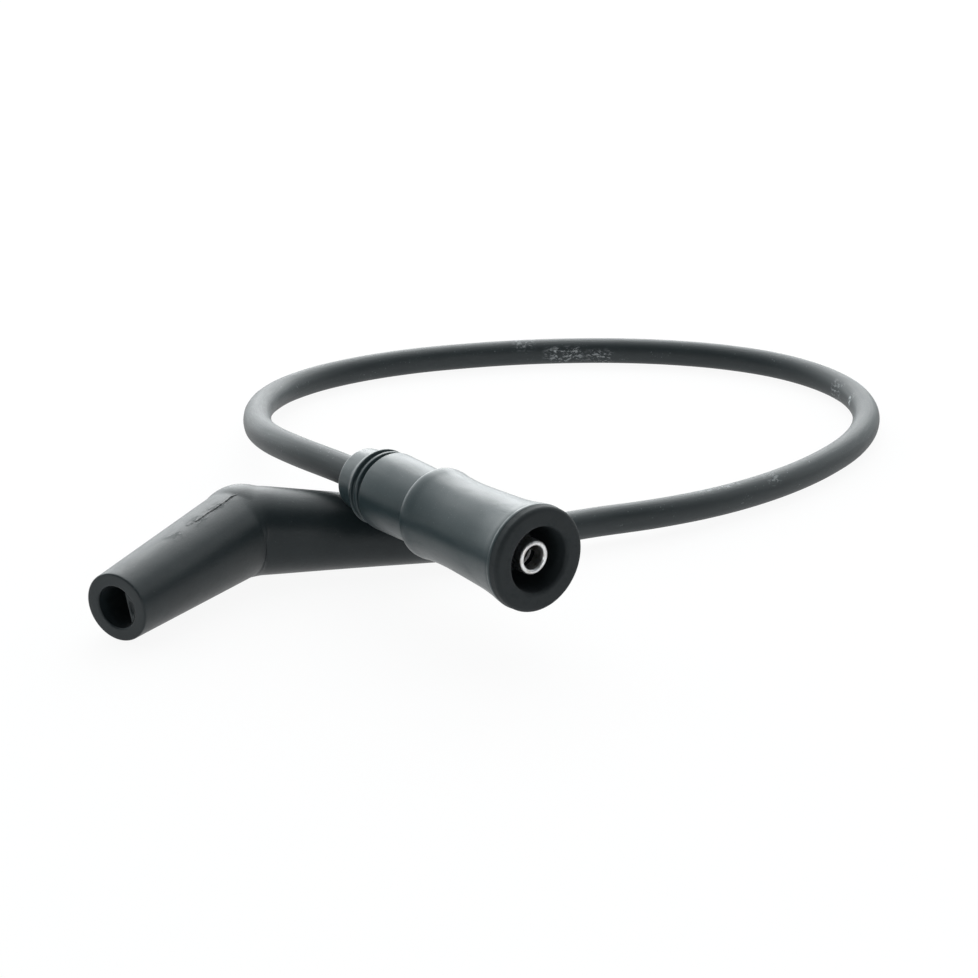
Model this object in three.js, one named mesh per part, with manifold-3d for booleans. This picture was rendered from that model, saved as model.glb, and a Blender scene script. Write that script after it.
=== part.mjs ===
// A spark plug lead: one cable with a straight boot at the coil end and an angled boot at the
// plug end, each with its terminal, spring clip and bared conductor end inside.
// It lies on a flat surface. The cable makes one loop, and the straight boot lies across the
// cable leg of the angled boot.
import * as THREE from 'three';
import { mergeVertices } from 'three/addons/utils/BufferGeometryUtils.js';
import Module from 'manifold-3d';

const wasm = await Module();
wasm.setup();

// Cable
const cableDiameter = 7;
const coreDiameter = 1.5;
const fitGap = 0.3;
const cableSides = 10;
const cableSteps = 80;
const exitLead = 8;
const bendLead = 3;

// Terminals: a crimp barrel round the jacket and a socket for the stud
const terminalWall = 0.6;
const socketDiameter = 7.5;
const socketLength = 12;
const crimpLength = 10;
const necking = 3;
const clipDepth = 4.8;
const clipWire = 0.8;
const clipSlotWidth = 1.7;
const clipBowLift = 0.7;
const jacketSetBack = 1.6;
const straightClipRoll = 130;
const elbowClipRoll = 0;

// Straight boot, from its cable end to its mouth
const straightLength = 63.4;
const collarDiameter = 14.2;
const collarEndDiameter = 15;
const collarLength = 5;
const collarRound = 1;
const shoulderDiameter = 17.4;
const shoulderLength = 2.2;
const grooveWidth = 1.4;
const grooveDepth = 1.1;
const grooveSlant = 0.1;
const ribWidth = 0.9;
const barrelDiameter = 17.9;
const waistDiameter = 17.2;
const barrelLength = 16.4;
const beadDiameter = 20.7;
const beadRound = 1.3;
const neckDiameter = 19.4;
const neckSetBack = 7.2;
const neckLength = 3;
const flareDiameter = 20.9;
const lipDiameter = 23;
const lipRound = 1.6;
const lipLand = 2.4;
const lipDraft = 0.2;
const flareSetBack = 10;
const recessDiameter = 14.4;
const recessFloorDiameter = 13.6;
const recessDepth = 12;
const recessRound = 0.6;
const straightTerminalInset = 1.8;

// Angled boot, from its mouth to its cable end
const mouthDiameter = 15.5;
const mouthRound = 0.6;
const mouthBoreRound = 0.6;
const plugBoreDiameter = 9.5;
const bendDiameter = 20.6;
const cornerStandOut = 0.3;
const taperDiameter = 16.9;
const taperShare = 0.4;
const tailDiameter = 12.5;
const tailRound = 0.8;
const plugLegLength = 45.6;
const cableLegLength = 59.2;
const plugTerminalInset = 14;
const bendBoreReach = 12;
const bendBoreTaper = 8;
const cableBendRadius = 12;
const mouthRibOffset = 3.2;
const mouthRibLength = 4;
const mouthRibInset = 0.8;
const mouthRibRoot = 0.6;
const mouthRibTurn = 18;
const mouthDimpleDiameter = 3.4;
const mouthDimpleDepth = 0.9;
const mouthDimpleWidth = 1.5;

// Where the boots lie, seen from above, with directions in degrees from +X
const bendCorner = [-34.5, -4.9];
const plugLegDirection = -68.9;
const cableLegDirection = 62;
const straightBootRear = [-18.1, 17.3];
const straightBootSlope = 0;

// Round surfaces
const bootSides = 40;
const terminalSides = 28;
const wireSides = 8;
const ballRings = 20;
const arcSteps = 4;

// The free cable's middle line between the two boots, from the straight boot to the angled one
const cableRoute = [
  [-44, 17.4, 22],
  [-58.8, 20.1, 20.2],
  [-72.5, 25.6, 17.6],
  [-85.5, 33, 14.5],
  [-98, 41, 11.3],
  [-110, 49.4, 8.2],
  [-121, 59, 5.8],
  [-129.7, 70.8, 4.3],
  [-134, 84.6, 3.7],
  [-134, 99.5, 3.6],
  [-131.1, 114.2, 3.6],
  [-126, 128.4, 3.6],
  [-119.6, 142, 3.6],
  [-111.8, 154.8, 3.6],
  [-102.7, 166.6, 3.6],
  [-92, 177.1, 3.6],
  [-79.8, 185.7, 3.6],
  [-66, 191.5, 3.6],
  [-51.3, 193.2, 3.6],
  [-36.8, 190.5, 3.6],
  [-23.8, 183.3, 3.6],
  [-13.2, 172.7, 3.6],
  [-5.3, 159.9, 3.6],
  [-0.1, 145.8, 3.6],
  [3.1, 131.2, 3.6],
  [4.7, 116.2, 3.8],
  [4.8, 101.2, 4.2],
  [3.2, 86.3, 4.7],
  [-0.2, 72.3, 5],
];

// Sizes that follow from the ones above
const degrees = Math.PI / 180;
const cableRadius = cableDiameter / 2;
const cableBore = cableRadius + fitGap;
const socketRadius = socketDiameter / 2;
const crimpInner = cableRadius + fitGap;
const crimpRadius = crimpInner + terminalWall;
const terminalLength = socketLength + necking + crimpLength;
const terminalBore = crimpRadius + fitGap;
const socketBore = socketRadius + fitGap;
const jacketDepth = socketLength + necking + jacketSetBack;

// An arc of profile points about [radius, along], from one angle to the other
function arc(radius, along, size, from, to) {
  const points = [];
  for (let step = 0; step <= arcSteps; step++) {
    const angle = (from + ((to - from) * step) / arcSteps) * degrees;
    points.push([radius + size * Math.cos(angle), along + size * Math.sin(angle)]);
  }
  return points;
}

// A ring turned about +Y from a closed outline of [radius, along] points
function turned(outline, sides) {
  const closed = [...outline, outline[0]].map(([radius, along]) => new THREE.Vector2(radius, along));
  return new THREE.LatheGeometry(closed, sides);
}

function roundBar(curve, radius, sides, steps) {
  const section = new THREE.Shape();
  for (let side = 0; side < sides; side++) {
    const angle = (side / sides) * 2 * Math.PI;
    const x = radius * Math.cos(angle);
    const y = radius * Math.sin(angle);
    if (side === 0) {
      section.moveTo(x, y);
    } else {
      section.lineTo(x, y);
    }
  }
  section.closePath();
  return new THREE.ExtrudeGeometry(section, { steps, extrudePath: curve, bevelEnabled: false });
}

function toSolid(geometry) {
  const bare = geometry.clone();
  bare.deleteAttribute('normal');
  bare.deleteAttribute('uv');
  const merged = mergeVertices(bare, 1e-4);
  const mesh = new wasm.Mesh({
    numProp: 3,
    vertProperties: new Float32Array(merged.attributes.position.array),
    triVerts: new Uint32Array(merged.index.array),
  });
  return new wasm.Manifold(mesh);
}

function toGeometry(solid) {
  const mesh = solid.getMesh();
  const geometry = new THREE.BufferGeometry();
  geometry.setAttribute('position', new THREE.BufferAttribute(mesh.vertProperties, 3));
  geometry.setIndex(new THREE.BufferAttribute(mesh.triVerts, 1));
  geometry.computeVertexNormals();
  return geometry;
}

function part(name, geometry, material) {
  const mesh = new THREE.Mesh(geometry, material);
  mesh.name = name;
  return mesh;
}

const jacketRubber = new THREE.MeshStandardMaterial({ color: 0x2b2f31, roughness: 0.7, metalness: 0 });
const glossRubber = new THREE.MeshStandardMaterial({ color: 0x24282c, roughness: 0.35, metalness: 0 });
const mattRubber = new THREE.MeshStandardMaterial({ color: 0x2e3335, roughness: 0.75, metalness: 0 });
const platedSteel = new THREE.MeshStandardMaterial({ color: 0xc9ccce, roughness: 0.3, metalness: 1 });
const springSteel = new THREE.MeshStandardMaterial({ color: 0x9ea3a6, roughness: 0.35, metalness: 1 });
const conductor = new THREE.MeshStandardMaterial({ color: 0x3a3a3c, roughness: 0.6, metalness: 0.3 });

// Terminal: its socket opens towards +Y at y = 0, and its crimp barrel is at the far end.
// Two side slots take the straight legs of the spring clip.
const clipLegOffset = socketRadius - terminalWall / 2 - clipWire / 2;
function terminalGeometry() {
  const socketInner = socketRadius - terminalWall;
  const edge = terminalWall / 4;
  const crimpTop = -(socketLength + necking);
  const outline = [
    [crimpInner, -terminalLength],
    [crimpRadius, -terminalLength],
    [crimpRadius, crimpTop],
    [socketRadius, -socketLength],
    [socketRadius, -edge],
    [socketRadius - edge, 0],
    [socketInner + edge, 0],
    [socketInner, -edge],
    [socketInner, -socketLength],
    [crimpInner, crimpTop],
  ];
  let solid = toSolid(turned(outline, terminalSides));
  const slotInner = clipLegOffset - clipWire / 2 - fitGap;
  const slotDepth = 2 * socketRadius;
  for (const side of [-1, 1]) {
    const slot = new THREE.BoxGeometry(slotDepth, clipSlotWidth, 4 * socketRadius);
    slot.translate(side * (slotInner + slotDepth / 2), -clipDepth, 0);
    solid = solid.subtract(toSolid(slot));
  }
  return toGeometry(solid);
}

// Hairpin clip: two straight legs through the slots and a bow over the outside of the socket
const bowHeight = socketRadius + fitGap + clipWire / 2 - clipLegOffset + clipBowLift;
const clipReach = bowHeight + clipLegOffset + clipWire / 2;
function clipGeometry() {
  const legEnd = -socketRadius - clipWire / 2;
  const hairpin = new THREE.CurvePath();
  const leg = (x, from, to) => new THREE.LineCurve3(
    new THREE.Vector3(x, -clipDepth, from), new THREE.Vector3(x, -clipDepth, to));
  hairpin.add(leg(-clipLegOffset, legEnd, bowHeight));
  const bow = [];
  for (let step = 0; step <= 8; step++) {
    const angle = (1 - step / 8) * Math.PI;
    bow.push(new THREE.Vector3(
      clipLegOffset * Math.cos(angle), -clipDepth, bowHeight + clipLegOffset * Math.sin(angle)));
  }
  hairpin.add(new THREE.CatmullRomCurve3(bow));
  hairpin.add(leg(clipLegOffset, bowHeight, legEnd));
  return roundBar(hairpin, clipWire / 2, wireSides, 30);
}

// Bared conductor: it leaves the jacket's cut end and folds back towards it inside the terminal
function coreGeometry() {
  const start = -jacketDepth + fitGap;
  const foldRadius = coreDiameter / 2 + 0.25;
  const foldAt = start + foldRadius * 0.8;
  const points = [new THREE.Vector3(0, start, 0)];
  for (let step = 0; step <= 8; step++) {
    const angle = (1 - step / 8) * Math.PI;
    points.push(new THREE.Vector3(
      foldRadius + foldRadius * Math.cos(angle), foldAt + foldRadius * Math.sin(angle), 0));
  }
  const fold = new THREE.CatmullRomCurve3(points);
  return roundBar(fold, coreDiameter / 2, wireSides, 14);
}

// Straight boot
function straightBootOutside() {
  const grooveStart = collarLength + shoulderLength;
  const ribStart = grooveStart + grooveWidth;
  const secondGroove = ribStart + ribWidth;
  const barrelStart = secondGroove + grooveWidth;
  const beadStart = barrelStart + barrelLength;
  const shoulder = shoulderDiameter / 2;
  const barrel = barrelDiameter / 2;
  const bead = beadDiameter / 2;
  const lip = lipDiameter / 2;
  return [
    [cableBore, 0],
    ...arc(collarDiameter / 2 - collarRound, collarRound, collarRound, -90, 0),
    [collarEndDiameter / 2, collarLength],
    [shoulder, grooveStart - 3 * grooveSlant],
    [shoulder, grooveStart],
    [shoulder - grooveDepth, grooveStart + grooveSlant],
    [shoulder - grooveDepth, ribStart - grooveSlant],
    [shoulder, ribStart],
    [shoulder, secondGroove],
    [shoulder - grooveDepth, secondGroove + grooveSlant],
    [shoulder - grooveDepth, barrelStart - grooveSlant],
    [barrel, barrelStart + grooveSlant],
    [waistDiameter / 2, beadStart],
    ...arc(bead - beadRound, beadStart + beadRound, beadRound, -75, 30),
    [neckDiameter / 2, beadStart + neckSetBack],
    [neckDiameter / 2, beadStart + neckSetBack + neckLength],
    [flareDiameter / 2, straightLength - flareSetBack],
    [lip - lipDraft, straightLength - lipRound - lipLand],
    ...arc(lip - lipRound, straightLength - lipRound, lipRound, 0, 90),
  ];
}

function straightBootInside() {
  const recess = recessDiameter / 2;
  const front = straightLength - straightTerminalInset;
  return [
    ...arc(recess + recessRound, straightLength - recessRound, recessRound, 90, 180),
    [recessFloorDiameter / 2, straightLength - recessDepth],
    [socketBore, straightLength - recessDepth],
    [socketBore, front - socketLength + fitGap],
    [terminalBore, front - socketLength - necking + fitGap],
    [terminalBore, front - terminalLength - fitGap],
    [cableBore, front - terminalLength - fitGap],
  ];
}

// Angled boot: its plug leg lies along +Y from the mouth, and its cable leg turns off towards +X
const mouthPoint = legEnd(plugLegDirection, plugLegLength, mouthDiameter / 2);
const tailPoint = legEnd(cableLegDirection, cableLegLength, tailDiameter / 2);
const cornerPoint = new THREE.Vector3(bendCorner[0], bendCorner[1], bendDiameter / 2);
const plugAxis = cornerPoint.clone().sub(mouthPoint);
const cableAxis = tailPoint.clone().sub(cornerPoint);
const bendAngle = plugAxis.angleTo(cableAxis);
const cornerAlong = plugAxis.length();
const tailAlong = cableAxis.length();

function legEnd(direction, length, height) {
  const angle = direction * degrees;
  return new THREE.Vector3(
    bendCorner[0] + length * Math.cos(angle), bendCorner[1] + length * Math.sin(angle), height);
}

// From the cable leg's own frame, with its corner at the origin, to the boot's
function placeCableLeg(geometry) {
  return geometry.rotateZ(-bendAngle).translate(0, cornerAlong, 0);
}

function plugLegOutline() {
  const mouth = mouthDiameter / 2;
  const bore = plugBoreDiameter / 2;
  const clipAt = plugTerminalInset + clipDepth;
  const pocketHalf = clipSlotWidth;
  const pocket = clipReach + fitGap;
  const terminalEnd = plugTerminalInset + terminalLength + fitGap;
  return [
    [mouth - mouthRound, 0],
    ...arc(mouth - mouthRound, mouthRound, mouthRound, -60, 0),
    [bendDiameter / 2, cornerAlong],
    [cableBore, cornerAlong],
    [cableBore, terminalEnd],
    [terminalBore, terminalEnd],
    [bore, plugTerminalInset + socketLength + necking],
    [bore, clipAt + pocketHalf],
    [pocket, clipAt + pocketHalf],
    [pocket, clipAt - pocketHalf],
    [bore, clipAt - pocketHalf],
    ...arc(bore + mouthBoreRound, mouthBoreRound, mouthBoreRound, 180, 270),
  ];
}

function cableLegOutline() {
  const tail = tailDiameter / 2;
  return [
    [bendDiameter / 2, 0],
    [taperDiameter / 2, taperShare * tailAlong],
    [tail, tailAlong - tailRound],
    ...arc(tail - tailRound, tailAlong - tailRound, tailRound, 30, 90),
    [cableBore, tailAlong],
    [cableBore, 0],
  ];
}

// The bore where the cable turns: a short run in the plug leg, a ball at the corner, and a run
// in the cable leg that tapers down to the cable
function bendHollows() {
  const plugReach = bendDiameter / 2 + 2 * cornerStandOut;
  const plugRun = new THREE.CylinderGeometry(terminalBore, terminalBore, plugReach, bootSides);
  plugRun.translate(0, cornerAlong - plugReach / 2, 0);
  const cableRun = turned([
    [0, 0],
    [terminalBore, 0],
    [terminalBore, bendBoreReach],
    [cableBore, bendBoreReach + bendBoreTaper],
    [0, bendBoreReach + bendBoreTaper],
  ], bootSides);
  const ball = new THREE.SphereGeometry(terminalBore, bootSides, ballRings);
  return [plugRun, placeCableLeg(cableRun), placeCableLeg(ball)];
}

function angledBootGeometry() {
  const ball = new THREE.SphereGeometry(bendDiameter / 2 + cornerStandOut, bootSides, ballRings);
  let solid = toSolid(turned(plugLegOutline(), bootSides));
  for (const outside of [turned(cableLegOutline(), bootSides), ball]) {
    solid = solid.add(toSolid(placeCableLeg(outside)));
  }
  for (const hollow of bendHollows()) {
    solid = solid.subtract(toSolid(hollow));
  }
  return toGeometry(shapeMouth(solid));
}

// A flat rib inside one side of the mouth, with a shallow dimple in it
function shapeMouth(boot) {
  const bore = plugBoreDiameter / 2;
  const buried = bore + mouthRibRoot;
  const half = Math.acos(mouthRibOffset / buried);
  const segment = new THREE.Shape();
  segment.absarc(0, 0, buried, -half, half, false);
  segment.closePath();
  const rib = new THREE.ExtrudeGeometry(
    segment, { depth: mouthRibLength, bevelEnabled: false, curveSegments: 8 });
  rib.rotateX(-Math.PI / 2);
  rib.translate(0, mouthRibInset, 0);
  const dimple = new THREE.SphereGeometry(mouthDimpleDiameter / 2, 12, 8);
  dimple.scale(mouthDimpleWidth / mouthDimpleDiameter, (2 * mouthDimpleDepth) / mouthDimpleDiameter, 1);
  dimple.translate((mouthRibOffset + bore) / 2, mouthRibInset, 0);
  rib.rotateY(-mouthRibTurn * degrees);
  dimple.rotateY(-mouthRibTurn * degrees);
  return boot.add(toSolid(rib)).subtract(toSolid(dimple));
}

// Frames of the two ends, lying on the surface
const plugEnd = new THREE.Group();
const acrossPlug = cableAxis.clone().projectOnPlane(plugAxis.clone().normalize()).normalize();
const alongPlug = plugAxis.clone().normalize();
const normalPlug = new THREE.Vector3().crossVectors(acrossPlug, alongPlug);
plugEnd.quaternion.setFromRotationMatrix(
  new THREE.Matrix4().makeBasis(acrossPlug, alongPlug, normalPlug));
plugEnd.position.copy(mouthPoint);
const angledBoot = part('elbow_boot', angledBootGeometry(), mattRubber);
plugEnd.add(angledBoot);
plugEnd.updateMatrixWorld(true);
plugEnd.position.z -= new THREE.Box3().setFromObject(angledBoot, true).min.z;

// The cable leg narrows faster in its first part than towards its tail
function cableLegRadius(share) {
  const middle = taperDiameter / 2;
  if (share < taperShare) {
    return bendDiameter / 2 + (middle - bendDiameter / 2) * (share / taperShare);
  }
  return middle + (tailDiameter / 2 - middle) * ((share - taperShare) / (1 - taperShare));
}

// The straight boot is as low as the cable leg under it allows
function seatHeight() {
  const slope = straightBootSlope * degrees;
  const legDirection = cableAxis.clone().normalize();
  const across = new THREE.Vector3(-legDirection.y, legDirection.x, 0).normalize();
  const corner = cornerPoint.clone();
  corner.z += plugEnd.position.z - mouthPoint.z;
  let height = 0;
  for (const [radius, along] of straightBootOutside()) {
    for (let turn = 0; turn < 360; turn += 5) {
      const side = radius * Math.cos(turn * degrees);
      const down = radius * Math.sin(turn * degrees);
      const point = new THREE.Vector3(
        straightBootRear[0] + along * Math.cos(slope) - down * Math.sin(slope),
        straightBootRear[1] + side,
        -along * Math.sin(slope) - down * Math.cos(slope));
      const fromCorner = point.clone().sub(corner);
      const offset = Math.abs(fromCorner.dot(across));
      const legAlong = Math.hypot(fromCorner.x, fromCorner.y);
      const share = legAlong / cableAxis.length();
      const reach = cableLegRadius(share) + fitGap;
      if (offset < reach && share < 1) {
        const axisHeight = corner.z + share * cableAxis.z;
        height = Math.max(height, axisHeight + Math.sqrt(reach ** 2 - offset ** 2) - point.z);
      }
    }
  }
  return height;
}

const coilEnd = new THREE.Group();
coilEnd.position.set(straightBootRear[0], straightBootRear[1], seatHeight());
coilEnd.rotation.set(0, straightBootSlope * degrees, -Math.PI / 2, 'YXZ');
const straightBoot = part(
  'straight_boot', turned([...straightBootOutside(), ...straightBootInside()], bootSides), glossRubber);
coilEnd.add(straightBoot);

// Terminal, clip and conductor of each end; the socket faces the mouth
function addTerminal(end, name, mouthAlong, inset, facing, roll) {
  const seat = new THREE.Group();
  seat.position.set(0, mouthAlong - facing * inset, 0);
  seat.rotation.set(facing > 0 ? 0 : Math.PI, roll * degrees, 0);
  seat.add(part(name + '_terminal', terminalGeometry(), platedSteel));
  seat.add(part(name + '_spring_clip', clipGeometry(), springSteel));
  seat.add(part(name + '_core_end', coreGeometry(), conductor));
  end.add(seat);
}
addTerminal(coilEnd, 'straight', straightLength, straightTerminalInset, 1, straightClipRoll);
addTerminal(plugEnd, 'elbow', 0, plugTerminalInset, -1, elbowClipRoll);

// The cable turns from one leg of the angled boot into the other on an arc
const bendTangent = cableBendRadius * Math.tan(bendAngle / 2);
function cableLegPoint(along) {
  return new THREE.Vector3(along * Math.sin(bendAngle), cornerAlong + along * Math.cos(bendAngle), 0);
}
function cableBendPoint(share) {
  const turn = share * bendAngle;
  return new THREE.Vector3(
    cableBendRadius * (1 - Math.cos(turn)),
    cornerAlong - bendTangent + cableBendRadius * Math.sin(turn), 0);
}

// The cable runs from one crimp barrel to the other
coilEnd.updateMatrixWorld(true);
plugEnd.updateMatrixWorld(true);
function cablePoints() {
  const jacketAtCoil = straightLength - straightTerminalInset - jacketDepth;
  const inCoil = [jacketAtCoil, jacketAtCoil / 2, 0, -exitLead]
    .map((along) => coilEnd.localToWorld(new THREE.Vector3(0, along, 0)));
  const free = cableRoute.map(([x, y, z]) => new THREE.Vector3(x, y, z));
  const inPlug = [exitLead, 0, -tailAlong / 2].map((past) => cableLegPoint(tailAlong + past));
  for (let step = arcSteps; step >= 0; step--) {
    inPlug.push(cableBendPoint(step / arcSteps));
  }
  for (const along of [cornerAlong - bendTangent - bendLead, plugTerminalInset + jacketDepth]) {
    inPlug.push(new THREE.Vector3(0, along, 0));
  }
  const throughPlug = inPlug.map((point) => plugEnd.localToWorld(point));
  return [...inCoil, ...free, ...throughPlug];
}
const cableCurve = new THREE.CatmullRomCurve3(cablePoints(), false, 'centripetal');
cableCurve.arcLengthDivisions = 2000;
const cable = part(
  'ignition_cable', roundBar(cableCurve, cableRadius, cableSides, cableSteps), jacketRubber);

const lead = new THREE.Group();
lead.add(cable, coilEnd, plugEnd);

export default lead;
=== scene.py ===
# Spark plug lead on a pale floor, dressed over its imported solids
import math

import bpy
from mathutils import Matrix, Vector, noise


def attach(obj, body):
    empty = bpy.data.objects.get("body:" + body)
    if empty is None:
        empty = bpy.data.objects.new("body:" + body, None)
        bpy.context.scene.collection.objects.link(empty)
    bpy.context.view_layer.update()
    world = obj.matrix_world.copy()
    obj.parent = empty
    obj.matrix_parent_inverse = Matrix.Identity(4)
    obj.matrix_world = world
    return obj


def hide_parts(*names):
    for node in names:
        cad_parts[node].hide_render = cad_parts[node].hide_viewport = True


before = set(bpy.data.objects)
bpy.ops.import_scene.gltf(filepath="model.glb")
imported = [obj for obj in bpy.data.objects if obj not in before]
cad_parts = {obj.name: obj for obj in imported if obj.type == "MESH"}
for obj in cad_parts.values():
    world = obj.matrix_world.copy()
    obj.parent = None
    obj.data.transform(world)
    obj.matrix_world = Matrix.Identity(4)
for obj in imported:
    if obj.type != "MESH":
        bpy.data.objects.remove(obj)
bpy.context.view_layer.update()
mm = 0.001
print("frame loaded")


# meshes are drawn in millimetres and kept in metres

def addObject(name, data):
    thing = bpy.data.objects.new(name, data)
    bpy.context.scene.collection.objects.link(thing)
    return thing


def meshFrom(name, points, faces, sharpAngle=38):
    mesh = bpy.data.meshes.new(name)
    mesh.from_pydata([Vector(p) * mm for p in points], [], faces)
    mesh.polygons.foreach_set("use_smooth", [True] * len(mesh.polygons))
    mesh.update()
    mesh.set_sharp_from_angle(angle=math.radians(sharpAngle))
    return mesh


def keepLaid(mesh, laid=None):
    # notes where each point was before its part was bent and put in place, in millimetres
    if laid is None:
        laid = [vertex.co / mm for vertex in mesh.vertices]
    column = mesh.attributes.new("laid", "FLOAT_VECTOR", "POINT")
    column.data.foreach_set("vector", [c for p in laid for c in p])


def finishPiece(thing, material, node=None, place=None):
    if place is not None:
        thing.data.transform(place)
    thing.data.materials.append(material)
    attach(thing, "root")
    if node is not None:
        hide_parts(node)


def ringFaces(rings, sides, closed=True):
    faces = []
    for ring in range(rings if closed else rings - 1):
        low = ring * sides
        high = (ring + 1) % rings * sides
        for side in range(sides):
            across = (side + 1) % sides
            faces.append((low + side, high + side, high + across, low + across))
    return faces


def rounded(corners, steps=5):
    # corners are (radius, along, rounding); each one becomes a small curve
    mostOfEdge = 0.48
    line = []
    for index, (radius, along, rounding) in enumerate(corners):
        here = Vector((radius, along))
        if rounding == 0 or index in (0, len(corners) - 1):
            line.append((here.x, here.y))
            continue
        before = Vector(corners[index - 1][:2]) - here
        after = Vector(corners[index + 1][:2]) - here
        first = here + before.normalized() * min(rounding, before.length * mostOfEdge)
        last = here + after.normalized() * min(rounding, after.length * mostOfEdge)
        for step in range(steps + 1):
            t = step / steps
            spot = first * (1 - t) ** 2 + here * (2 * t * (1 - t)) + last * t ** 2
            line.append((spot.x, spot.y))
    return line


def denser(line, gap):
    result = [line[0]]
    for (r0, a0), (r1, a1) in zip(line, line[1:]):
        pieces = max(1, math.ceil(math.hypot(r1 - r0, a1 - a0) / gap))
        for step in range(1, pieces + 1):
            result.append((r0 + (r1 - r0) * step / pieces, a0 + (a1 - a0) * step / pieces))
    return result


def arcLine(radius, along, size, start, end, steps=10):
    line = []
    for step in range(steps + 1):
        angle = math.radians(start + (end - start) * step / steps)
        line.append((radius + size * math.cos(angle), along + size * math.sin(angle)))
    return line


def swept(points, perSpan=12):
    # a smooth line through the points, the same kind of curve as the solids follow
    spots = [Vector(p) for p in points]
    spots = [2 * spots[0] - spots[1]] + spots + [2 * spots[-1] - spots[-2]]
    line = []
    for index in range(1, len(spots) - 2):
        a, b, c, d = spots[index - 1:index + 3]
        ta, tb, tc = ((b - a).length ** 0.5, (c - b).length ** 0.5, (d - c).length ** 0.5)
        leave = ((b - a) / ta - (c - a) / (ta + tb) + (c - b) / tb) * tb
        arrive = ((c - b) / tb - (d - b) / (tb + tc) + (d - c) / tc) * tb
        for step in range(perSpan):
            t = step / perSpan
            line.append(b * (2 * t ** 3 - 3 * t ** 2 + 1) + leave * (t ** 3 - 2 * t ** 2 + t)
                        + c * (3 * t ** 2 - 2 * t ** 3) + arrive * (t ** 3 - t ** 2))
    line.append(spots[-2])
    return line


def evenly(line, gap):
    lengths = [0.0]
    for a, b in zip(line, line[1:]):
        lengths.append(lengths[-1] + (b - a).length)
    count = max(2, round(lengths[-1] / gap))
    result, at = [], 0
    for step in range(count + 1):
        want = lengths[-1] * step / count
        while at < len(line) - 2 and lengths[at + 1] < want:
            at += 1
        share = (want - lengths[at]) / max(lengths[at + 1] - lengths[at], 1e-9)
        result.append(line[at].lerp(line[at + 1], min(max(share, 0), 1)))
    return result, lengths[-1]


def tubeMesh(name, line, radius, sides, capStart=(), capEnd=()):
    # caps are (radius, outward) rings that close an end
    tangents = []
    for index in range(len(line)):
        ahead = line[min(index + 1, len(line) - 1)]
        tangents.append((ahead - line[max(index - 1, 0)]).normalized())
    across = tangents[0].cross(Vector((0, 0, 1))).normalized()
    rings, along = [], 0.0
    for index, spot in enumerate(line):
        across = (across - tangents[index] * across.dot(tangents[index])).normalized()
        if index:
            along += (spot - line[index - 1]).length
        rings.append((spot, tangents[index], across, radius, along))
    spot, tangent, side, _, where = rings[0]
    before = [(spot - tangent * out, tangent, side, size, where - out)
              for size, out in reversed(capStart)]
    spot, tangent, side, _, where = rings[-1]
    behind = [(spot + tangent * out, tangent, side, size, where + out) for size, out in capEnd]
    rings = before + rings + behind
    points, laid = [], []
    for spot, tangent, side, size, where in rings:
        up = tangent.cross(side)
        for step in range(sides):
            angle = 2 * math.pi * step / sides
            points.append(spot + side * (size * math.cos(angle)) + up * (size * math.sin(angle)))
            laid.append((size * math.cos(angle), size * math.sin(angle), where))
    faces = ringFaces(len(rings), sides, closed=False)
    faces.append(tuple(range(sides)))
    faces.append(tuple(reversed(range(len(points) - sides, len(points)))))
    mesh = meshFrom(name, points, faces)
    keepLaid(mesh, laid)
    return mesh


def lathe(name, outside, inside, sides, sharpAngle=38):
    outline = outside + inside
    points = []
    for radius, along in outline:
        for side in range(sides):
            angle = 2 * math.pi * side / sides
            points.append((radius * math.cos(angle), along, radius * math.sin(angle)))
    faces = ringFaces(len(outline), sides)
    return addObject(name, meshFrom(name, points, faces, sharpAngle))


class Wire:
    # one socket of a material; sums on it add Math nodes
    def __init__(self, finish, socket):
        self.finish, self.socket = finish, socket

    def maths(self, operation, *others):
        return self.finish.add("ShaderNodeMath", {"operation": operation},
                               dict(enumerate((self,) + others)))

    def __add__(self, other):
        return self.maths("ADD", other)

    __radd__ = __add__

    def __mul__(self, other):
        return self.maths("MULTIPLY", other)

    __rmul__ = __mul__

    def __sub__(self, other):
        return self.maths("SUBTRACT", other)

    def __rsub__(self, other):
        return self.finish.add("ShaderNodeMath", {"operation": "SUBTRACT"}, {0: other, 1: self})

    def __truediv__(self, other):
        return self.maths("DIVIDE", other)

    def larger(self, other):
        return self.maths("MAXIMUM", other)

    def smaller(self, other):
        return self.maths("MINIMUM", other)

    def size(self):
        return self.maths("ABSOLUTE")

    def between(self, low, high):
        # 0 at low, 1 at high, soft on the way
        return self.finish.add("ShaderNodeMapRange", {"interpolation_type": "SMOOTHSTEP"},
                               {"Value": self, "From Min": low, "From Max": high})


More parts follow.
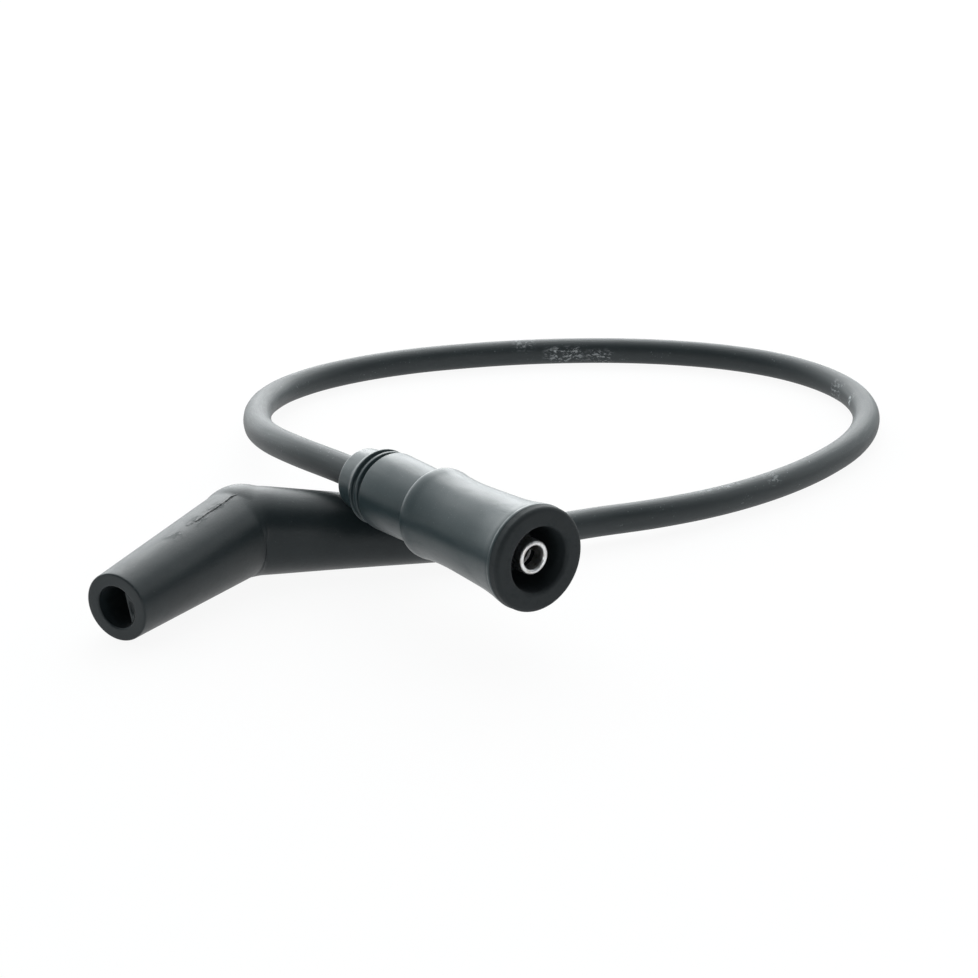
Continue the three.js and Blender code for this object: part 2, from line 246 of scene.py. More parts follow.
class Finish:
    # one material, or the world, and its nodes
    def __init__(self, name=None, tree=None):
        if tree is None:
            self.material = bpy.data.materials.new(name)
            self.material.use_nodes = True
            tree = self.material.node_tree
        self.tree = tree
        self.tree.nodes.clear()

    def add(self, kind, settings=None, sockets=None, output=0):
        # output is one of the node's outputs, or a tuple of several
        node = self.tree.nodes.new(kind)
        for key, value in (settings or {}).items():
            setattr(node, key, value)
        for key, value in (sockets or {}).items():
            if isinstance(value, Wire):
                self.tree.links.new(value.socket, node.inputs[key])
            else:
                node.inputs[key].default_value = value
        if isinstance(output, tuple):
            return [Wire(self, node.outputs[one]) for one in output]
        return Wire(self, node.outputs[output]) if node.outputs else None

    def place(self):
        return self.add("ShaderNodeAttribute", {"attribute_name": "laid"}, output="Vector")

    def parts(self, vector):
        return self.add("ShaderNodeSeparateXYZ", {}, {0: vector}, output=(0, 1, 2))

    def stretched(self, vector, amounts):
        return self.add("ShaderNodeVectorMath", {"operation": "MULTIPLY"}, {0: vector, 1: amounts})

    def grain(self, vector, scale, detail, rough, distortion=0.0):
        return self.add("ShaderNodeTexNoise", {"noise_dimensions": "3D"}, {
            "Vector": vector, "Scale": scale, "Detail": detail, "Roughness": rough,
            "Distortion": distortion})

    def mix(self, mask, first, second):
        # a plain colour is three numbers
        first, second = (tone if isinstance(tone, Wire) else (*tone, 1) for tone in (first, second))
        return self.add("ShaderNodeMix", {"data_type": "RGBA"}, {0: mask, 6: first, 7: second},
                        output=2)

    def bump(self, height, distance, strength):
        return self.add("ShaderNodeBump", {}, {
            "Height": height, "Distance": distance, "Strength": strength})

    def surface(self, **sockets):
        names = {"colour": "Base Color", "roughness": "Roughness", "metallic": "Metallic",
                 "specular": "Specular IOR Level", "sheen": "Sheen Weight",
                 "sheenRoughness": "Sheen Roughness", "normal": "Normal"}
        shader = self.add("ShaderNodeBsdfPrincipled", {},
                          {names[key]: value for key, value in sockets.items()})
        self.add("ShaderNodeOutputMaterial", {}, {"Surface": shader})
        return self.material


view = {
    "place": (0.44989, -0.31074, 0.23049),
    "downward": 20.213888,
    "heading": 52.13,
    "lens": 99.387,
    "sensor": 36,
}


def makeCamera():
    lens = bpy.data.cameras.new("camera")
    lens.lens = view["lens"]
    lens.sensor_width = view["sensor"]
    camera = addObject("camera", lens)
    camera.location = view["place"]
    camera.rotation_euler = (math.radians(90 - view["downward"]), 0, math.radians(view["heading"]))
    bpy.context.scene.camera = camera


makeCamera()
bpy.context.view_layer.update()
print("camera placed")


# along each boot: millimetres from the cable end of the straight one, and from the mouth of the
# angled one

straight = {
    "place": (-18.1, 17.3, 22.915),
    "length": 63.4,
    "sides": 160,
    # (radius, along, rounding) of the outside, from the cable end to the bead
    "rear": [
        (3.8, 0, 0), (7.1, 0, 0.9), (7.5, 5.0, 0.5), (8.7, 6.75, 0.5), (8.7, 7.25, 0.25),
        (7.95, 7.4, 0.2), (7.95, 8.4, 0.2), (8.65, 8.6, 0.25), (8.65, 9.4, 0.25), (7.95, 9.6, 0.2),
        (7.95, 10.65, 0.2), (8.95, 10.9, 0.3), (8.82, 17.0, 0), (8.6, 26.4, 0.8), (8.8, 27.0, 0.2),
        (9.9, 27.35, 0.35), (10.3, 28.2, 0.9), (10.28, 29.4, 1.2)],
    # and from the bead to the lip
    "front": [
        (10.28, 29.4, 0), (10.0, 31.4, 1.2), (9.8, 35.0, 2.5), (9.78, 39.0, 2.5), (10.1, 46.0, 5),
        (10.5, 53.4, 3), (11.05, 57.4, 2), (11.45, 59.4, 0.6), (11.5, 60.1, 0.3),
        (11.62, 60.45, 0.15), (11.62, 60.8, 0.15), (11.5, 61.1, 0.1), (11.5, 62.3, 0)],
    "lipRound": 1.0,
    "recessDepth": 12.0,
    "recessRound": 0.9,
    "recessRadius": 7.2,
    "mattAndShadeFrom": (60.85, 61.1),
    "mattAndShadeWithin": (7.9, 8.3),
    "terminalAt": 61.6,
    "clipRoll": 130,
    "rubber": (0.019, 0.034, 0.0385),
    "paleRubber": (0.024, 0.0395, 0.044),
    # painted shade: the darker colour of the mouth face and the recess
    "mouth": (0.0045, 0.0088, 0.0108),
    "dust": (0.35, 0.36, 0.36),
    "gloss": 0.3,
}

elbow = {
    "corner": (-34.5, -4.9),
    "plugLeg": 45.6,
    "plugDirection": -68.9,
    "cableLeg": 59.2,
    "cableDirection": 62.0,
    "mouthRadius": 7.75,
    "bendRadius": 10.3,
    "ballRadius": 10.6,
    "taperRadius": 8.45,
    "taperShare": 0.4,
    "tailRadius": 6.25,
    "boreBend": 12.0,
    "lift": 0.272,
    "terminalAt": 14.0,
    "clipRoll": 0,
}

straightEnd = (Matrix.Translation(Vector(straight["place"]) * mm)
               @ Matrix.Rotation(-math.pi / 2, 4, "Z"))


def legPoint(direction, length, height):
    angle = math.radians(direction)
    return Vector((elbow["corner"][0] + length * math.cos(angle),
                   elbow["corner"][1] + length * math.sin(angle), height))


elbowMouth = legPoint(elbow["plugDirection"], elbow["plugLeg"], elbow["mouthRadius"])
elbowTail = legPoint(elbow["cableDirection"], elbow["cableLeg"], elbow["tailRadius"])
elbowCorner = legPoint(0, 0, elbow["bendRadius"])
plugAxis = elbowCorner - elbowMouth
cableAxis = elbowTail - elbowCorner
bendAngle = plugAxis.angle(cableAxis)


def turnAt(radius):
    # where a bend of this radius starts and ends, measured along the straightened boot
    tangent = radius * math.tan(bendAngle / 2)
    start = plugAxis.length - tangent
    end = start + radius * bendAngle
    return {"radius": radius, "start": start, "end": end, "tail": end + cableAxis.length - tangent}


boreTurn = turnAt(elbow["boreBend"])
skinTurn = turnAt(elbow["bendRadius"])


def elbowPlace():
    alongAxis = plugAxis.normalized()
    acrossAxis = (cableAxis - alongAxis * cableAxis.dot(alongAxis)).normalized()
    turn = Matrix((acrossAxis, alongAxis, acrossAxis.cross(alongAxis))).transposed().to_4x4()
    return Matrix.Translation((elbowMouth + Vector((0, 0, elbow["lift"]))) * mm) @ turn


elbowEnd = elbowPlace()


def bent(point, turn):
    x, y, z = point
    if y <= turn["start"]:
        return Vector((x, y, z))
    angle = (min(y, turn["end"]) - turn["start"]) / turn["radius"]
    past = max(y - turn["end"], 0)
    reach = turn["radius"] - x
    return Vector((turn["radius"] - reach * math.cos(angle) + past * math.sin(angle),
                   turn["start"] + reach * math.sin(angle) + past * math.cos(angle), z))


cable = {
    "radius": 3.5,
    "sides": 48,
    "ringGap": 1.5,
    "insideStraightBoot": 10.0,
    "straightJacketEnd": 45.0,
    "elbowJacketEnd": 30.6,
    "endSides": 32,
    "rubber": (0.0098, 0.0168, 0.0195),
    "paleRubber": (0.0158, 0.024, 0.0265),
    "powder": (0.42, 0.44, 0.45),
    "insulation": (0.055, 0.055, 0.058),
    "braid": (0.5, 0.48, 0.42),
    "core": (0.012, 0.012, 0.013),
    # (radius, outward) rings of a cut end, and where its layers meet
    "cutFace": [(3.5, 0.0), (3.42, 0.08), (2.58, 0.1), (2.2, 0.12), (2.18, 0.1), (0.78, 0.1),
                (0.1, 0.12)],
    "braidOutside": (2.55, 2.6),
    "braidInside": (2.15, 2.2),
    "coreOutside": (0.72, 0.78),
    # (middle along, half length, side, strength) of the powdery marks
    "scuffs": [
        (217.5, 4.0, (0.38, -0.92), 0.5),
        (229.0, 7.0, (0.9, 0.43), 1.0),
        (239.0, 5.0, (0.75, 0.66), 0.8),
        (319.5, 4.0, (0.99, 0.1), 0.6),
        (331.0, 1.8, (0.99, 0.12), 1.2),
        (405.0, 3.0, (0.0, -1.0), 0.4),
        (419.0, 5.0, (0.62, -0.78), 0.6),
        (425.5, 4.0, (0.7, -0.71), 0.7),
    ],
    # the free cable's middle line, from the straight boot to the angled one, in metres
    "route": [
        (-0.044, 0.0174, 0.022), (-0.0588, 0.0201, 0.0202), (-0.0725, 0.0256, 0.0176),
        (-0.0855, 0.033, 0.0145), (-0.098, 0.041, 0.0113), (-0.11, 0.0494, 0.0082),
        (-0.121, 0.059, 0.0058), (-0.1297, 0.0708, 0.0043), (-0.134, 0.0846, 0.0037),
        (-0.134, 0.0995, 0.0036), (-0.1311, 0.1142, 0.0036), (-0.126, 0.1284, 0.0036),
        (-0.1196, 0.142, 0.0036), (-0.1118, 0.1548, 0.0036), (-0.1027, 0.1666, 0.0036),
        (-0.092, 0.1771, 0.0036), (-0.0798, 0.1857, 0.0036), (-0.066, 0.1915, 0.0036),
        (-0.0513, 0.1932, 0.0036), (-0.0368, 0.1905, 0.0036), (-0.0238, 0.1833, 0.0036),
        (-0.0132, 0.1727, 0.0036), (-0.0053, 0.1599, 0.0036), (-0.0001, 0.1458, 0.0036),
        (0.0031, 0.1312, 0.0036), (0.0047, 0.1162, 0.0038), (0.0048, 0.1012, 0.0042),
        (0.0032, 0.0863, 0.0047), (-0.0002, 0.0723, 0.005),
    ],
}


def inStraight(along):
    return (straightEnd @ Vector((0, along * mm, 0))) / mm


def inElbow(along):
    return (elbowEnd @ (bent((0, along, 0), boreTurn) * mm)) / mm


def jacketScuffs(finish, spot):
    x, y, along = finish.parts(spot)
    scuffs = None
    for middle, half, (sideX, sideY), strength in cable["scuffs"]:
        lengthwise = 1 - ((along - middle).size() / half).between(0.35, 1)
        facing = (x * sideX + y * sideY).between(1.6, 3.2)
        patch = lengthwise * facing * strength
        scuffs = scuffs.larger(patch) if scuffs else patch
    chips = finish.grain(finish.stretched(spot, (1, 1, 0.55)), 1.1, 5, 0.72, 0.6)
    return scuffs * chips.between(0.5, 0.6)


def makeJacket():
    finish = Finish("cableJacket")
    spot = finish.place()
    x, y, along = finish.parts(spot)
    smudge = finish.grain(finish.stretched(spot, (1, 1, 0.25)), 0.35, 4, 0.6)
    streak = finish.grain(finish.stretched(spot, (1.6, 1.6, 0.12)), 1.2, 3, 0.6)
    speck = finish.grain(spot, 2.2, 2, 0.5)
    pebble = finish.grain(spot, 5.0, 3, 0.6)
    worn = speck.between(0.655, 0.72) * 0.35 * smudge.between(0.45, 0.7)
    worn = worn.larger(jacketScuffs(finish, spot))
    tone = finish.mix(smudge.between(0.3, 0.8), cable["rubber"], cable["paleRubber"])
    tone = finish.mix(worn, tone, cable["powder"])
    # the cut end shows the insulation, the light fibre braid and the black core
    reach = (x * x + y * y).maths("SQRT")
    pastBraid = reach.between(*cable["braidInside"])
    braid = pastBraid - reach.between(*cable["braidOutside"])
    tone = finish.mix(1 - pastBraid, tone, cable["insulation"])
    tone = finish.mix(braid.larger(0), tone, cable["braid"])
    tone = finish.mix(1 - reach.between(*cable["coreOutside"]), tone, cable["core"])
    dull = 0.46 + streak * 0.16 + worn * 0.3
    height = pebble * 0.6 + streak * 0.6 + worn * 0.5
    return finish.surface(colour=tone, roughness=dull, specular=0.5, sheen=0.04,
                          sheenRoughness=0.5, normal=finish.bump(height, 0.00006, 0.6))


def makeCable():
    jacket = makeJacket()
    tail, halfLeg = boreTurn["tail"], cableAxis.length / 2
    route = [Vector(p) / mm for p in cable["route"]]
    start = [inStraight(a) for a in (cable["insideStraightBoot"], 0, -8)]
    end = [inElbow(tail + past) for past in (8, 0, -halfLeg)]
    line, length = evenly(swept(start + route + end), cable["ringGap"])
    tube = addObject("ignitionCable", tubeMesh("ignitionCable", line, cable["radius"], cable["sides"]))
    finishPiece(tube, jacket, "ignition_cable")
    round(length * mm, 3)
    [p * mm for p in line]
    print("cable laid,", round(length), "mm")
    # the two ends inside the boots, up to where the jacket is cut
    cutDepth = cable["cutFace"][-1][1]
    straightLine = [inStraight(cable["insideStraightBoot"]),
                    inStraight(cable["straightJacketEnd"] - cutDepth)]
    first, last = boreTurn["start"], boreTurn["end"]
    elbowLine = swept([inElbow(a) for a in (
        tail - halfLeg, last + 4, last, last - 3, (first + last) / 2, first + 2, first - 3,
        cable["elbowJacketEnd"] + cutDepth)])
    for name, inside, gap in (("straightCableEnd", straightLine, 1.5),
                              ("elbowCableEnd", elbowLine, 1.0)):
        inside, _ = evenly(inside, gap)
        mesh = tubeMesh(name, inside, cable["radius"], cable["endSides"], capEnd=cable["cutFace"])
        finishPiece(addObject(name, mesh), jacket)


makeCable()


def straightOutside():
    lip = straight["lipRound"]
    wide = straight["front"][-1][0]
    return (rounded(straight["rear"]) + rounded(straight["front"])[1:]
            + arcLine(wide - lip, straight["length"] - lip, lip, 2, 90, 10))


def straightInside():
    top, edge = straight["length"], straight["recessRound"]
    bottom = top - straight["recessDepth"]
    lip = arcLine(straight["recessRadius"] + edge, top - edge, edge, 90, 180, 8)
    return lip + rounded([
        (7.18, top - 1.2, 0), (6.8, bottom, 0.6), (4.05, bottom, 0.3), (4.05, 49.9, 0.2),
        (4.7, 46.9, 0), (4.7, 36.3, 0), (3.8, 36.3, 0), (3.8, 0.2, 0)])


def makeGlossRubber():
    finish = Finish("straightBootRubber")
    spot = finish.place()
    x, along, z = finish.parts(spot)
    reach = (x * x + z * z).maths("SQRT")
    # the mouth and the recess keep the mould's dull face, and are coloured darker as painted shade
    # over the mouth face and in the recess
    recess = (1 - reach.between(*straight["mattAndShadeWithin"])) * along.between(49, 50)
    mouth = along.between(*straight["mattAndShadeFrom"]).larger(recess)
    haze = finish.grain(spot, 0.16, 4, 0.6)
    fingers = finish.grain(finish.stretched(spot, (1, 0.3, 1)), 0.5, 4, 0.65, 0.4)
    speck = finish.grain(spot, 3.4, 2, 0.5)
    pebble = finish.grain(spot, 7.0, 3, 0.55)
    rings = finish.grain(finish.stretched(spot, (0.05, 6.0, 0.05)), 1.0, 2, 0.5)
    dust = speck.between(0.68, 0.74) * 0.18
    tone = finish.mix(haze.between(0.3, 0.75), straight["rubber"], straight["paleRubber"])
    # painted shade: the mouth face and the recess are coloured darker than the rubber
    tone = finish.mix(mouth, tone, straight["mouth"])
    tone = finish.mix(dust * (1 - mouth), tone, straight["dust"])
    dull = (straight["gloss"] + haze * 0.08 + fingers.between(0.45, 0.75) * 0.1 + mouth * 0.36
            + dust * 0.5)
    height = pebble * 0.5 + rings * 0.35 + mouth * pebble * 1.2
    return finish.surface(colour=tone, roughness=dull, specular=0.43,
                          normal=finish.bump(height, 0.00004, 0.5))


def makeStraightBoot():
    boot = lathe("straightBoot", straightOutside(), straightInside(), straight["sides"])
    keepLaid(boot.data)
    finishPiece(boot, makeGlossRubber(), "straight_boot", straightEnd)
    print("straight boot made")


makeStraightBoot()


angled = {
    "sides": 144,
    "bore": 4.75,
    "boreRound": 0.6,
    "ribFlat": 3.2,
    "ribFrom": 0.3,
    "ribTo": 4.8,
    "ribTurn": 18.0,
    # half width, depth and half height
    "dimple": (0.5, 0.6, 1.7),
    # the mould's parting line: degrees round the boot, start, end and the step between its rows
    "seamAngle": 92.0,
    "seam": (28, 47),
    "seamStep": 0.35,
    "rubber": (0.0058, 0.0116, 0.0138),
    "paleRubber": (0.0108, 0.0176, 0.0202),
    "dust": (0.2, 0.21, 0.21),
    "seamShade": (0.008, 0.009, 0.01),
}


def angledOutside():
    start, end, tail = skinTurn["start"], skinTurn["end"], skinTurn["tail"]
    wide, mouth = elbow["bendRadius"], elbow["mouthRadius"]
    taperAt = end + elbow["taperShare"] * (tail - end)
    line = rounded([
        (mouth - 0.9, 0, 0), (mouth, 0, 0.45), (mouth + 0.15, 3.0, 0), (wide - 0.2, start, 4),
        (wide, (start + end) / 2, 3), (wide - 0.15, end, 4), (elbow["taperRadius"], taperAt, 8),
        (elbow["tailRadius"], tail, 0.7), (5.0, tail, 0)], 8)
    return denser(line, 1.1)


def angledInside():
    # (radius, along, how far the rib's flat is reached); from the tail to the mouth
    bore, edge = angled["bore"], angled["boreRound"]
    far = denser([
        (3.8, boreTurn["tail"]), (3.8, boreTurn["end"] + 14), (4.7, boreTurn["end"] + 6),
        (4.7, 39.3), (4.75, 29.0), (4.75, 20.5), (5.85, 20.45), (5.85, 17.15), (4.75, 17.1),
        (4.75, 6.0)], 1.5)
    line = [(r, a, 0.0) for r, a in far]
    line.append((bore, angled["ribTo"], 0.0))
    line += [(bore, a, 1.0) for a in (angled["ribTo"], 3.4, 2.0)]
    line += [(bore, angled["ribFrom"], 1 - step / 10) for step in range(11)]
    line += [(r, a, 0.0) for r, a in arcLine(bore + edge, edge, edge, 180, 268, 8)]
    return line


def ribbed(x, y, z, flat):
    # the flat rib is turned a little about the bore
    turn = math.radians(angled["ribTurn"])
    over = x * math.cos(turn) + z * math.sin(turn)
    side = z * math.cos(turn) - x * math.sin(turn)
    if flat > 0 and over > angled["ribFlat"]:
        over += (angled["ribFlat"] - over) * flat
        if abs(y - angled["ribFrom"]) < 0.01:
            wide, deep, tall = angled["dimple"]
            middle = (angled["ribFlat"] + angled["bore"]) / 2
            inside = 1 - ((over - middle) / wide) ** 2 - (side / tall) ** 2
            y += deep * math.sqrt(max(inside, 0))
        x = over * math.cos(turn) - side * math.sin(turn)
        z = over * math.sin(turn) + side * math.cos(turn)
    return x, y, z


def onSkin(spot):
    # the outer side of the bend is a ball at the corner
    place = bent(spot, skinTurn)
    middle = Vector((0, plugAxis.length, 0))
    away = place - middle
    if away.length < elbow["ballRadius"]:
        return middle + away.normalized() * elbow["ballRadius"]
    return place


def seamStrip():
    # a thin uneven ridge of flash along the top of the plug leg, in rows of four points
    start, end = angled["seam"]
    points, laid = [], []
    count = int((end - start) / angled["seamStep"])
    for step in range(count + 1):
        along = start + (end - start) * step / count
        share = min(along / skinTurn["start"], 1)
        sunk = 0.02
        radius = elbow["mouthRadius"] + (elbow["bendRadius"] - elbow["mouthRadius"]) * share - sunk
        wander = noise.noise(Vector((along * 0.3, 3.1, 0))) * 0.25
        ragged = noise.noise(Vector((along * 1.7, 0.4, 8)))
        fade = min(1, (along - start) / 3, (end - along) / 2)
        tall = fade * max(0.0, 0.02 + 0.2 * ragged)
        wide = 0.2 + 0.12 * ragged
        row = ((-wide, -0.05), (-wide * 0.3, tall), (wide * 0.3, tall * 0.8), (wide, -0.05))
        for sideways, rise in row:
            angle = math.radians(angled["seamAngle"]) + (sideways + wander) / radius
            spot = ((radius + rise) * math.cos(angle), along, (radius + rise) * math.sin(angle))
            points.append(onSkin(spot))
            laid.append(spot)
    return points, laid


def makeMattRubber():
    finish = Finish("elbowBootRubber")
    spot = finish.place()
    x, along, z = finish.parts(spot)
    cloud = finish.grain(spot, 0.12, 4, 0.6)
    blotch = finish.grain(finish.stretched(spot, (1, 0.5, 1)), 0.45, 4, 0.65, 0.3)
    pebble = finish.grain(spot, 3.2, 4, 0.6)
    speck = finish.grain(spot, 2.6, 2, 0.5)
    # the parting line and the rough patch beside it
    seam = (x + z * 0.035).size()
    top = z.between(2, 5)
    legPart = along.between(22, 31) * (1 - along.between(45.5, 49))
    line = (1 - seam.between(0.1, 0.4)) * top * legPart
    rough = (1 - seam.between(0.5, 2.2)) * top * along.between(14, 24) * (1 - along.between(36, 42))
    marks = rough * blotch.between(0.52, 0.62)
    dust = (speck.between(0.69, 0.75) * 0.16).larger(marks * 0.2)
    tone = finish.mix(cloud.between(0.3, 0.75), angled["rubber"], angled["paleRubber"])
    tone = finish.mix(dust, tone, angled["dust"])
    tone = finish.mix(line * 0.45, tone, angled["seamShade"])
    dull = 0.34 + blotch * 0.16 + marks * 0.2
    height = pebble * 0.55 + blotch * 0.8 + marks * 1.1
    return finish.surface(colour=tone, roughness=dull, specular=0.34, sheen=0.05,
                          sheenRoughness=0.5, normal=finish.bump(height, 0.00008, 0.6))


def makeAngledBoot():
    sides = angled["sides"]
    outline = [(r, a, 0.0, True) for r, a in angledOutside()]
    outline += [(r, a, flat, False) for r, a, flat in angledInside()]
    points, laid = [], []
    for radius, along, flat, outer in outline:
        for side in range(sides):
            angle = 2 * math.pi * side / sides
            spot = ribbed(radius * math.cos(angle), along, radius * math.sin(angle), flat)
            points.append(onSkin(spot) if outer else bent(spot, boreTurn))
            laid.append(spot)
    faces = ringFaces(len(outline), sides)
    strip, stripLaid = seamStrip()
    first = len(points)
    for row in range(len(strip) // 4 - 1):
        for column in range(3):
            corner = first + row * 4 + column
            faces.append((corner, corner + 4, corner + 5, corner + 1))
    boot = addObject("elbowBoot", meshFrom("elbowBoot", points + strip, faces, 42))
    keepLaid(boot.data, laid + stripLaid)
    finishPiece(boot, makeMattRubber(), "elbow_boot", elbowEnd)
    print("angled boot made")


makeAngledBoot()


terminal = {
    "sides": 96,
    "sharpAngle": 50,
    "socketRadius": 3.75,
    "wall": 0.6,
    "rim": 0.58,
    "socketLength": 12.0,
    "neck": 3.0,
    "crimp": 10.0,
    "crimpRadius": 4.4,
    "crimpWall": 0.6,
    "slotWidth": 1.7,
    "clipDepth": 4.8,
    "clipWire": 0.8,
    "clipLeg": 3.05,
    "clipCap": [(0.36, 0.08), (0.2, 0.14)],
    "bowHeight": 2.1,
    "bowSteps": 15,
    "wireSides": 20,
    "coreRadius": 0.75,
    "coreBehindNeck": 1.3,
    "bright": (0.78, 0.79, 0.8),
    "stained": (0.52, 0.5, 0.46),
    # painted shade: the socket's colour darkens deeper inside
    "deep": (0.3, 0.29, 0.28),
    "wire": (0.68, 0.69, 0.7),
    "dullWire": (0.42, 0.41, 0.39),
    "fibre": (0.012, 0.012, 0.013),
    "worn": (0.035, 0.035, 0.037),
}


def makePlating():
    finish = Finish("terminalPlating")
    spot = finish.place()
    _, along, _ = finish.parts(spot)
    drawn = finish.grain(finish.stretched(spot, (0.4, 14.0, 0.4)), 1.0, 3, 0.6)
    stain = finish.grain(spot, 0.9, 4, 0.6)
    tone = finish.mix(stain.between(0.4, 0.75), terminal["bright"], terminal["stained"])
    # painted shade: the metal is coloured darker deeper into the socket
    tone = finish.mix(1 - along.between(-16, -2), tone, terminal["deep"])
    return finish.surface(colour=tone, metallic=1.0, roughness=0.3 + drawn * 0.14 + stain * 0.1,
                          normal=finish.bump(drawn, 0.00003, 0.5))


def makeSpringWire():
    finish = Finish("springWire")
    spot = finish.place()
    fine = finish.grain(spot, 6.0, 3, 0.6)
    stain = finish.grain(spot, 1.2, 3, 0.6)
    tone = finish.mix(stain.between(0.35, 0.75), terminal["wire"], terminal["dullWire"])
    return finish.surface(colour=tone, metallic=1.0, roughness=0.34 + fine * 0.2,
                          normal=finish.bump(fine, 0.00002, 0.5))


def makeFibre():
    finish = Finish("conductorFibre")
    spot = finish.place()
    strand = finish.add("ShaderNodeTexWave", {"wave_type": "BANDS", "bands_direction": "DIAGONAL"},
                        {"Vector": spot, "Scale": 1.6, "Distortion": 2.0, "Detail": 2.0})
    tone = finish.mix(strand, terminal["fibre"], terminal["worn"])
    return finish.surface(colour=tone, roughness=0.55 + strand * 0.2,
                          normal=finish.bump(strand, 0.00008, 0.7))


plating = makePlating()
springWire = makeSpringWire()
fibre = makeFibre()


def terminalOutline():
    outer, inner = terminal["socketRadius"], terminal["socketRadius"] - terminal["wall"]
    socketEnd = -terminal["socketLength"]
    neckEnd = socketEnd - terminal["neck"]
    back = neckEnd - terminal["crimp"]
    crimp, crimpInner = terminal["crimpRadius"], terminal["crimpRadius"] - terminal["crimpWall"]
    outside = rounded([
        (crimp - 0.3, back, 0), (crimp, back, 0.15), (crimp, neckEnd, 0.8),
        (outer, socketEnd, 0.8), (outer, -0.7, 0)])
    # the front edge is rolled in to a thick smooth rim
    rim = arcLine(outer - terminal["rim"], -terminal["rim"], terminal["rim"], 0, 180, 16)
    inside = rounded([
        (inner - 0.56, -0.75, 0), (inner - 0.45, -1.1, 0.3), (inner, -1.7, 0.4),
        (inner, socketEnd, 0.8), (crimpInner, neckEnd, 0.8), (crimpInner, back, 0)])
    return outside, rim + inside


def hairpin():
    leg, bow = terminal["clipLeg"], terminal["bowHeight"]
    foot = -terminal["socketRadius"] - terminal["clipWire"] / 2
    points = [(-leg, foot), (-leg, bow)]
    for step in range(1, terminal["bowSteps"]):
        angle = math.radians(180 - 180 / terminal["bowSteps"] * step)
        points.append((leg * math.cos(angle), bow + leg * math.sin(angle)))
    points += [(leg, bow), (leg, foot)]
    return [Vector((x, -terminal["clipDepth"], z)) for x, z in points]


def coreFold():
    start = -(terminal["socketLength"] + terminal["neck"] + terminal["coreBehindNeck"])
    fold = terminal["coreRadius"] + 0.25
    points = [Vector((0, start, 0))]
    for step in range(9):
        angle = (1 - step / 8) * math.pi
        points.append(Vector((fold + fold * math.cos(angle),
                              start + fold * 0.8 + fold * math.sin(angle), 0)))
    return swept(points, 4)


def slotBoxes():
    points, faces = [], []
    inner = terminal["clipLeg"] - terminal["clipWire"] / 2 - 0.3
    half = terminal["slotWidth"] / 2
    for side in (-1, 1):
        start = len(points)
        for x in (side * inner, side * (inner + 6)):
            for y in (-terminal["clipDepth"] - half, -terminal["clipDepth"] + half):
                for z in (-7.5, 7.5):
                    points.append((x, y, z))
        box = [(0, 1, 3, 2), (4, 6, 7, 5), (0, 4, 5, 1), (2, 3, 7, 6), (0, 2, 6, 4), (1, 5, 7, 3)]
        if side < 0:
            box = [tuple(reversed(face)) for face in box]
        faces += [tuple(start + index for index in face) for face in box]
    return meshFrom("slotBoxes", points, faces)


def cutSlots(tube):
    # the clip's legs reach in through a slot on each side
    slotTool = addObject("slotTool", slotBoxes())
    cut = tube.modifiers.new("slots", "BOOLEAN")
    cut.operation = "DIFFERENCE"
    cut.solver = "EXACT"
    cut.object = slotTool
    bpy.context.view_layer.update()
    ready = tube.evaluated_get(bpy.context.evaluated_depsgraph_get())
    ready = bpy.data.meshes.new_from_object(ready)
    tube.modifiers.clear()
    tube.data = ready
    ready.set_sharp_from_angle(angle=math.radians(terminal["sharpAngle"]))
    bpy.data.objects.remove(slotTool)


def makeTerminal(name, end, boot, facing):
    place = end @ Matrix.Translation((0, boot["terminalAt"] * mm, 0))
    place = place @ Matrix.Rotation(0 if facing > 0 else math.pi, 4, "X")
    place = place @ Matrix.Rotation(math.radians(boot["clipRoll"]), 4, "Y")
    outside, inside = terminalOutline()
    tube = lathe(name + "Terminal", outside, inside, terminal["sides"], terminal["sharpAngle"])
    cutSlots(tube)
    keepLaid(tube.data)
    clip, _ = evenly(hairpin(), 0.35)
    wire = addObject(name + "SpringClip", tubeMesh(
        name + "SpringClip", clip, terminal["clipWire"] / 2, terminal["wireSides"],
        terminal["clipCap"], terminal["clipCap"]))
    core, _ = evenly(coreFold(), 0.25)
    bared = addObject(name + "CoreEnd", tubeMesh(
        name + "CoreEnd", core, terminal["coreRadius"], terminal["wireSides"],
        [(0.7, 0.05)], [(0.68, 0.06), (0.3, 0.1)]))
    finishPiece(tube, plating, name + "_terminal", place)
    finishPiece(wire, springWire, name + "_spring_clip", place)
    finishPiece(bared, fibre, name + "_core_end", place)


makeTerminal("straight", straightEnd, straight, 1)
makeTerminal("elbow", elbowEnd, elbow, -1)
print("terminals made")


studio = {
    "floorReach": 6,
    "floorTone": 0.8,
    "floorWhite": 0.92,
    "paperTone": 1.04,
    "roomBright": 1.9,
    "roomDark": 0.12,
    "roomTint": (0.93, 1.0, 1.02),
    "brightSide": (-0.85, 0.5, 0.25),
    "lampTarget": (0, 0.05, 0),
    # name, place, size in metres, watts
    "lamps": [
        ("leftLamp", (-1.0, 0.15, 0.4), 0.9, 3.5),
        ("backLamp", (-0.8, 0.85, 0.55), 1.0, 10.0),
        ("rightLamp", (0.4, 1.1, 0.5), 0.6, 1.7),
        ("topLamp", (-0.3, 0.35, 1.1), 1.0, 2.5),
        ("mouthLamp", (0.7, 0.0, 0.14), 0.12, 0.6),
        ("boreLamp", (0.22, -0.62, 0.1), 0.12, 0.5),
    ],
}


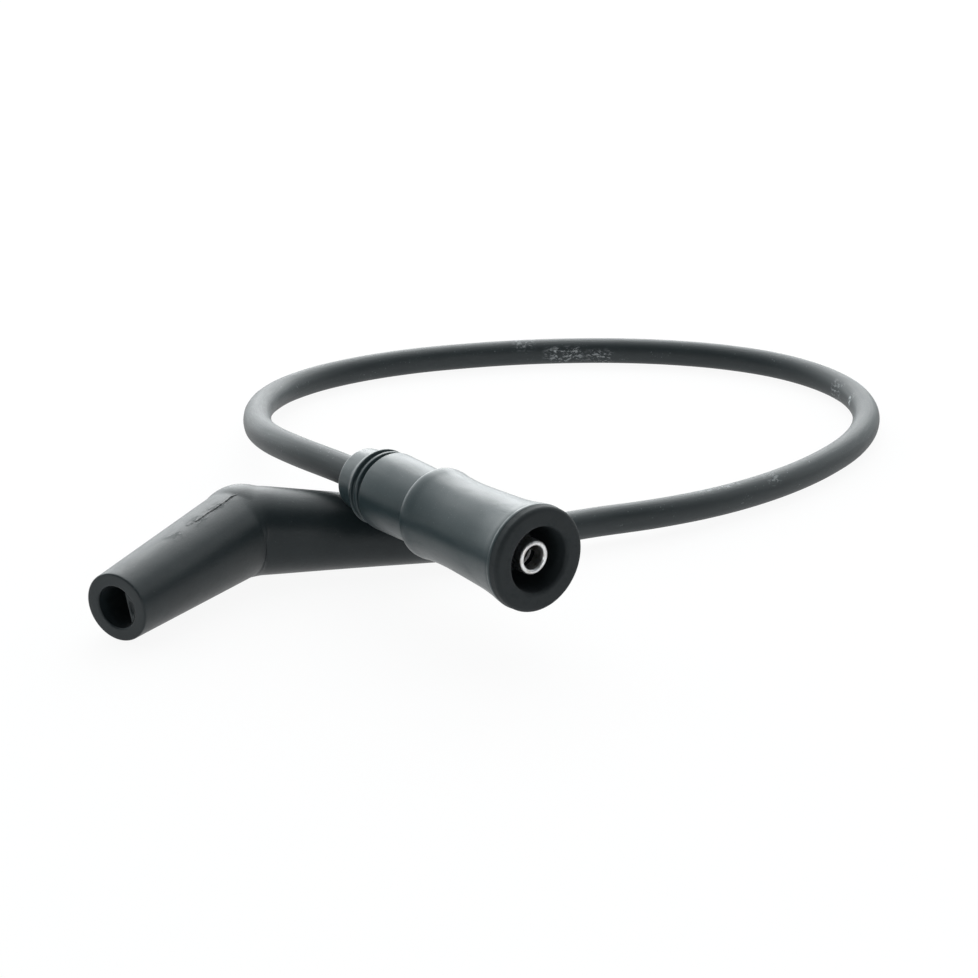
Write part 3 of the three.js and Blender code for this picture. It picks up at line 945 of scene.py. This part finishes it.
def makeFloor():
    mesh = bpy.data.meshes.new("floor")
    far = studio["floorReach"]
    corners = [(-far, -far, 0), (far, -far, 0), (far, far, 0), (-far, far, 0)]
    mesh.from_pydata(corners, [], [(0, 1, 2, 3)])
    floor = addObject("floor", mesh)
    finish = Finish("paleFloor")
    camera, glossy, clear = finish.add("ShaderNodeLightPath", output=(
        "Is Camera Ray", "Is Glossy Ray", "Is Transmission Ray"))
    seen = (camera + glossy + clear).smaller(1.0)
    paper = finish.grain(finish.add("ShaderNodeTexCoord", output="Object"), 60.0, 2, 0.5)
    tone = studio["floorTone"]
    shade = finish.mix(paper, (tone,) * 3, (tone * studio["paperTone"],) * 3)
    diffuse = finish.add("ShaderNodeBsdfDiffuse", {}, {"Color": shade})
    white = finish.add("ShaderNodeEmission", {}, {"Color": (1, 1, 1, 1), "Strength": 1.0})
    both = finish.add("ShaderNodeMixShader", {}, {
        0: seen * studio["floorWhite"], 1: diffuse, 2: white})
    finish.add("ShaderNodeOutputMaterial", {}, {"Surface": both})
    mesh.materials.append(finish.material)


def makeRoom():
    # brighter to one side, and plain white where the camera sees it
    world = bpy.data.worlds.new("room")
    bpy.context.scene.world = world
    world.use_nodes = True
    finish = Finish(tree=world.node_tree)
    seen = finish.add("ShaderNodeLightPath", output="Is Camera Ray")
    direction = finish.add("ShaderNodeTexCoord", output="Generated")
    toBright = Vector(studio["brightSide"]).normalized()
    facing = finish.add("ShaderNodeVectorMath", {"operation": "DOT_PRODUCT"},
                        {0: direction, 1: toBright}, output="Value")
    dark, bright = studio["roomDark"], studio["roomBright"]
    glow = dark + facing.between(-0.2, 0.95) * (bright - dark)
    tone = finish.mix(seen, studio["roomTint"], (1, 1, 1))
    back = finish.add("ShaderNodeBackground", {}, {"Color": tone, "Strength": glow.larger(seen)})
    finish.add("ShaderNodeOutputWorld", {}, {"Surface": back})


def makeLamps():
    target = Vector(studio["lampTarget"])
    for name, place, size, watts in studio["lamps"]:
        lamp = bpy.data.lights.new(name, "AREA")
        lamp.size = size
        lamp.energy = watts
        thing = addObject(name, lamp)
        thing.location = place
        thing.visible_camera = False
        thing.rotation_euler = (target - Vector(place)).to_track_quat("-Z", "Y").to_euler()


makeFloor()
makeRoom()
makeLamps()
bpy.context.scene.view_settings.view_transform = "Standard"
print("studio lit")
